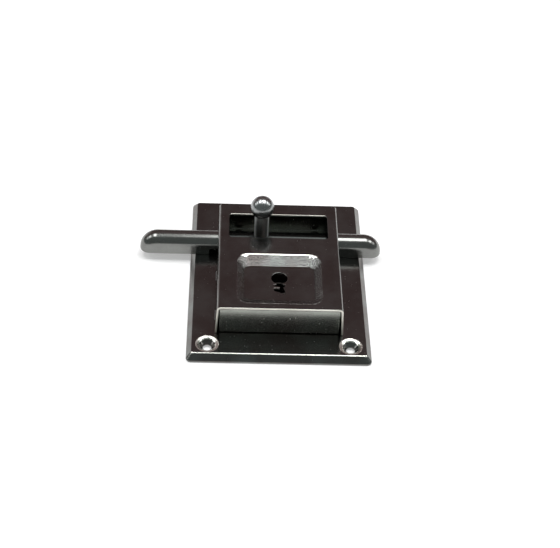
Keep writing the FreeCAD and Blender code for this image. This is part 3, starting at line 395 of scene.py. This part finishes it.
def select_only(piece: bpy.types.Object) -> None:
    """Deselect everything, then select one piece and make it active."""
    bpy.ops.object.select_all(action="DESELECT")
    piece.select_set(True)
    bpy.context.view_layer.objects.active = piece


def apply_modifier(piece: bpy.types.Object, kind: str, **settings: Any) -> None:
    """Add a modifier with its settings to the active piece and apply it."""
    modifier = piece.modifiers.new(kind.lower(), kind)
    for name, value in settings.items():
        setattr(modifier, name, value)
    bpy.ops.object.modifier_apply(modifier=modifier.name)


@dataclass(frozen=True)
class DressedNodes:
    """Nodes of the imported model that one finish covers."""

    finish: PlatedSteel
    nodes: tuple[str, ...]

    def dress(self, frame: dict[str, Any]) -> None:
        """Give the finish to each node.
        """
        material = self.finish.build()
        for name in self.nodes:
            for slot in frame["nodes"][name].material_slots:
                slot.material = material
            LOG.info("%s in %s", name, self.finish.name)


@dataclass(frozen=True)
class BrokenEdges:
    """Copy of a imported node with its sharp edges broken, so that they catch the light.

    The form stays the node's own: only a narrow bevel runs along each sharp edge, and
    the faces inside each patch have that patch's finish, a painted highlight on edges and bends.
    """

    node: str
    body: str
    finish: PlatedSteel
    edge_mm: float = 0.2
    segments: int = 3
    sharp_degrees: float = 35.0
    face_weight: int = 80
    redressed: tuple[FinishPatch, ...] = ()

    def build(self, frame: dict[str, Any]) -> bpy.types.Object:
        """Copy the node, break its edges and let the copy stand for it.


        Returns:
            The finished copy.
        """
        source = frame["nodes"][self.node]
        piece = bpy.data.objects.new(self.node + "_worn", source.data.copy())
        bpy.context.scene.collection.objects.link(piece)
        select_only(piece)
        bpy.ops.object.mode_set(mode="EDIT")
        bpy.ops.mesh.select_all(action="SELECT")
        bpy.ops.mesh.customdata_custom_splitnormals_clear()
        bpy.ops.mesh.remove_doubles(threshold=MERGE_MM * MM)
        bpy.ops.mesh.dissolve_limited(angle_limit=math.radians(FLAT_DEGREES))
        bpy.ops.object.mode_set(mode="OBJECT")
        piece.data.materials.clear()
        for finish in (self.finish, *(redressed.finish for redressed in self.redressed)):
            piece.data.materials.append(finish.build())
        for face in piece.data.polygons:
            face.material_index = 0
        if self.edge_mm > 0:
            apply_modifier(piece, "BEVEL", width=self.edge_mm * MM, segments=self.segments,
                           limit_method="ANGLE", angle_limit=math.radians(self.sharp_degrees),
                           use_clamp_overlap=False)
        self.patch_faces(piece.data)
        bpy.ops.object.shade_smooth_by_angle(angle=math.radians(SMOOTH_DEGREES))
        apply_modifier(piece, "WEIGHTED_NORMAL", keep_sharp=True, weight=self.face_weight)
        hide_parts(self.node)
        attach(piece, self.body)
        LOG.info("%s: %d faces in %s", piece.name, len(piece.data.polygons), self.finish.name)
        return piece

    def patch_faces(self, mesh: bpy.types.Mesh) -> None:
        """Give the faces that lie inside each patch its finish, a painted highlight on edges and
        bends.
        """
        for face in mesh.polygons:
            for index, redressed in enumerate(self.redressed):
                if redressed.zone.holds(face.center / MM):
                    face.material_index = index + 1


@dataclass(frozen=True)
class RivetEnds:
    """Round ends of rivets: domed heads on a foot, or flat tails below the plate."""

    name: str
    places_mm: tuple[tuple[float, float], ...]
    level_mm: float
    facing: Facing
    radius_mm: float = 2.5
    rise_mm: float = 1.2
    sunk_mm: float = 0.05
    segments: int = 32
    rings: int = 16

    def build(self) -> None:
        """Set a copy of the round end on every place."""
        dome = self.dome()
        level = (self.level_mm - self.facing.value * self.sunk_mm) * MM
        for index, (across, deep) in enumerate(self.places_mm):
            end = bpy.data.objects.new("%s_%d" % (self.name, index + 1), dome.data.copy())
            end.data.transform(Matrix.Translation((across * MM, deep * MM, level)))
            bpy.context.scene.collection.objects.link(end)
            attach(end, "frame")
        bpy.data.objects.remove(dome)
        LOG.info("%s: %d round ends", self.name, len(self.places_mm))

    def dome(self) -> bpy.types.Object:
        """Model one end round the origin: half a sphere, flattened to its rise.

        Returns:
            The model, which is copied and then removed.
        """
        bpy.ops.object.select_all(action="DESELECT")
        bpy.ops.mesh.primitive_uv_sphere_add(segments=self.segments, ring_count=self.rings,
                                             radius=self.radius_mm * MM)
        dome = bpy.context.object
        flat = self.facing.value * self.rise_mm / self.radius_mm
        bpy.ops.object.mode_set(mode="EDIT")
        bpy.ops.mesh.select_all(action="SELECT")
        bpy.ops.mesh.bisect(plane_co=(0.0, 0.0, 0.0), plane_no=(0.0, 0.0, 1.0),
                            use_fill=True, clear_inner=True)
        bpy.ops.mesh.select_all(action="SELECT")
        bpy.ops.transform.resize(value=(1.0, 1.0, flat), center_override=(0.0, 0.0, 0.0))
        bpy.ops.mesh.normals_make_consistent(inside=False)
        bpy.ops.object.mode_set(mode="OBJECT")
        bpy.ops.object.shade_smooth_by_angle(angle=math.radians(DOME_SMOOTH_DEGREES))
        dome.data.materials.append(RIVET_FINISH.build())
        return dome


@dataclass
class PaleTable:
    """White table under the lock, wide enough to fill the picture."""

    width: float = 8.0
    drop: float = 0.0002
    whiteness: float = 0.80
    backdrop_glow: float = 0.34

    def build(self) -> None:
        """Add the table."""
        bpy.ops.mesh.primitive_plane_add(size=self.width, location=(0.0, 0.0, 0.0))
        table = bpy.context.object
        table.name = "pale_table"
        table.data.transform(Matrix.Translation((0.0, 0.0, -self.drop)))
        table.data.materials.append(self.laminate())

    def laminate(self) -> bpy.types.Material:
        """Make the table's white laminate.

        Returns:
            A diffuse white that the camera and mirrors see as plain white.
        """
        material = bpy.data.materials.new("white_laminate")
        tree = new_tree(material)
        white = (self.whiteness, self.whiteness, self.whiteness, 1.0)
        diffuse = add_node(tree, "ShaderNodeBsdfDiffuse", {"=Color": white})
        path = add_node(tree, "ShaderNodeLightPath")
        seen = add_node(tree, "ShaderNodeMath", {"operation": "MAXIMUM"}, {
            0: path.outputs["Is Camera Ray"], 1: path.outputs["Is Glossy Ray"],
        }).outputs["Value"]
        seen = add_node(tree, "ShaderNodeMath", {"operation": "MAXIMUM"}, {
            0: seen, 1: path.outputs["Is Transmission Ray"],
        }).outputs["Value"]
        strength = add_node(tree, "ShaderNodeMath", {
            "operation": "MULTIPLY", "=1": self.backdrop_glow,
        }, {0: seen}).outputs["Value"]
        glow = add_node(tree, "ShaderNodeEmission", {"=Color": (1.0, 1.0, 1.0, 1.0)},
                        {"Strength": strength})
        both = add_node(tree, "ShaderNodeAddShader", links={
            0: diffuse.outputs["BSDF"], 1: glow.outputs["Emission"],
        })
        add_node(tree, "ShaderNodeOutputMaterial", links={"Surface": both.outputs["Shader"]})
        return material


@dataclass(frozen=True)
class SoftBox:
    """One soft box of the row above the table, in metres along the bolt."""

    centre: float
    along: float
    radiance: float


@dataclass
class StudioLight:
    """Row of soft boxes above the table in a dim room whose rear wall is warmer."""

    height: float = 1.1
    back: float = 0.19
    depth: float = 0.60
    boxes: tuple[SoftBox, ...] = (
        SoftBox(-2.20, 0.70, 4.0), SoftBox(-1.20, 0.45, 4.0), SoftBox(-0.42, 0.34, 7.0),
        SoftBox(0.24, 0.50, 7.0), SoftBox(1.05, 0.50, 5.0), SoftBox(2.10, 0.70, 4.0),
    )
    card_place: tuple[float, float, float] = (-0.80, 0.93, 0.22)
    card_size: tuple[float, float] = (0.60, 0.36)
    card_radiance: float = 0.5
    wall_behind: str = "#7E6E6E"
    room_in_front: str = "#7F8584"
    wall_starts: float = 0.2
    wall_full: float = 0.6

    def build(self) -> None:
        """Add the soft boxes, the pale card behind on the left, and the room."""
        for index, box in enumerate(self.boxes):
            self.add_lamp("soft_box_%d" % (index + 1), (box.along, self.depth), box.radiance,
                          Matrix.Translation((box.centre, self.back, self.height)))
        facing = (-Vector(self.card_place)).to_track_quat("-Z", "Y").to_matrix().to_4x4()
        self.add_lamp("pale_card", self.card_size, self.card_radiance,
                      Matrix.Translation(self.card_place) @ facing)
        self.add_room()

    def add_lamp(self, name: str, size: tuple[float, float], radiance: float,
                 placed: Matrix) -> None:
        """Add a rectangular lamp that is equally bright all over.

        Args:
            name: the lamp's name.
            size: its two sides in metres.
            radiance: its brightness as the mirrors see it, where 1 is white.
            placed: its place and turn.
        """
        lamp = bpy.data.lights.new(name, "AREA")
        lamp.shape = "RECTANGLE"
        lamp.size, lamp.size_y = size
        lamp.energy = radiance * math.pi * size[0] * size[1]
        item = bpy.data.objects.new(name, lamp)
        item.matrix_world = placed
        bpy.context.scene.collection.objects.link(item)

    def add_room(self) -> None:
        """Make the dim room, warmer behind the lock than in front of it."""
        world = bpy.data.worlds.new("dim_room")
        bpy.context.scene.world = world
        tree = new_tree(world)
        place = add_node(tree, "ShaderNodeTexCoord").outputs["Generated"]
        axes = add_node(tree, "ShaderNodeSeparateXYZ", links={"Vector": place}).outputs
        behind = map_range(tree, axes["Y"], self.wall_starts, self.wall_full)
        colour = add_node(tree, "ShaderNodeMix", {
            "data_type": "RGBA", "=6": linear(self.room_in_front), "=7": linear(self.wall_behind),
        }, {0: behind}).outputs[2]
        background = add_node(tree, "ShaderNodeBackground", links={"Color": colour})
        add_node(tree, "ShaderNodeOutputWorld", links={"Surface": background.outputs[0]})


@dataclass
class PictureCamera:
    """Camera of the picture, from the fit of the plate's corners and holes."""

    place: tuple[float, float, float] = (-0.028066, -0.527205, 0.474203)
    down: float = 41.643
    turn: float = 3.175
    tilt: float = 3.441
    lens: float = 88.696

    def build(self) -> None:
        """Add the camera and make it the scene's."""
        down, turn, tilt = (math.radians(value) for value in (self.down, self.turn, self.tilt))
        ahead = Vector((math.sin(turn) * math.cos(down), math.cos(turn) * math.cos(down),
                        -math.sin(down)))
        level = Vector((math.cos(turn), -math.sin(turn), 0.0))
        rise = level.cross(ahead)
        right = math.cos(tilt) * level + math.sin(tilt) * rise
        upward = -math.sin(tilt) * level + math.cos(tilt) * rise
        data = bpy.data.cameras.new("picture_camera")
        data.sensor_fit = "HORIZONTAL"
        data.sensor_width = 36.0
        data.lens = self.lens
        data.clip_start = 0.01
        camera = bpy.data.objects.new("picture_camera", data)
        turned = Matrix((right, upward, -ahead)).transposed().to_4x4()
        camera.matrix_world = Matrix.Translation(self.place) @ turned
        bpy.context.scene.collection.objects.link(camera)
        bpy.context.scene.camera = camera


@dataclass
class SlideBolt:
    """The whole lock: pieces with broken edges, painted highlights and painted shade, rivet ends
    and plain dressed nodes.
    """

    # Painted highlights on the plate's front fold and screw-hole lips, on the cover's sheared
    # edges and dish lip, and down the stem's sides; painted shade on the bolt under the cover
    redressed: tuple[BrokenEdges, ...] = (
        BrokenEdges("back_plate", "frame", PLATE_FINISH, edge_mm=0.15,
                    redressed=tuple(FinishPatch(zone, BEND_HIGHLIGHT)
                               for zone in (PLATE_FRONT_FOLD, *SINK_LIPS))),
        BrokenEdges("case_cover", "frame", COVER_FINISH, edge_mm=0.3,
                    redressed=(FinishPatch(COVER_FRONT_EDGE, SHEARED_EDGE_HIGHLIGHT),
                          FinishPatch(SLOT_REAR_EDGE, SHEARED_EDGE_HIGHLIGHT),
                          FinishPatch(DISH_REAR_LIP, BEND_HIGHLIGHT))),
        BrokenEdges("front_wall", "frame", WALL_FINISH),
        BrokenEdges("rear_wall", "frame", WALL_FINISH),
        BrokenEdges("bolt", "bolt_bar", BAR_FINISH),
        BrokenEdges("knob", "bolt_bar", BALL_FINISH, edge_mm=0.0,
                    redressed=(FinishPatch(KNOB_STEM, STEM_FINISH),
                          *(FinishPatch(side, STEM_SIDE_HIGHLIGHT) for side in STEM_HIGHLIGHT_SIDES))),
    )
    ends: tuple[RivetEnds, ...] = (
        RivetEnds("wall_rivet_head", WALL_RIVETS, 5.0, Facing.UP),
        RivetEnds("rivet_tail", (*WALL_RIVETS, *PIN_TAILS), 2.8, Facing.DOWN, radius_mm=2.3,
                  rise_mm=0.5),
    )
    plain: DressedNodes = DressedNodes(INNER_FINISH, (
        "dog", "catch_lever", "ward_plate", "keyhole_bush", "bolt_spring", "catch_spring",
        "catch_spring_post", "catch_pin", "dog_pin_left", "dog_pin_right",
        "ward_post_left", "ward_post_right", "front_wall_rivet_left",
        "front_wall_rivet_right", "rear_wall_rivet_left", "rear_wall_rivet_right",
    ))

    def build(self, frame: dict[str, Any]) -> None:
        """Build and dress every piece.
        """
        self.plain.dress(frame)
        for piece in self.redressed:
            piece.build(frame)
        for ends in self.ends:
            ends.build()


def main() -> None:
    """Load the model, dress it and set the table, light and camera."""
    logging.basicConfig(level=logging.INFO, format="%(message)s")
    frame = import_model()
    PictureCamera().build()
    StudioLight().build()
    PaleTable().build()
    SlideBolt().build(frame)
    bpy.context.scene.view_settings.view_transform = "Standard"


if __name__ == "__main__":
    main()
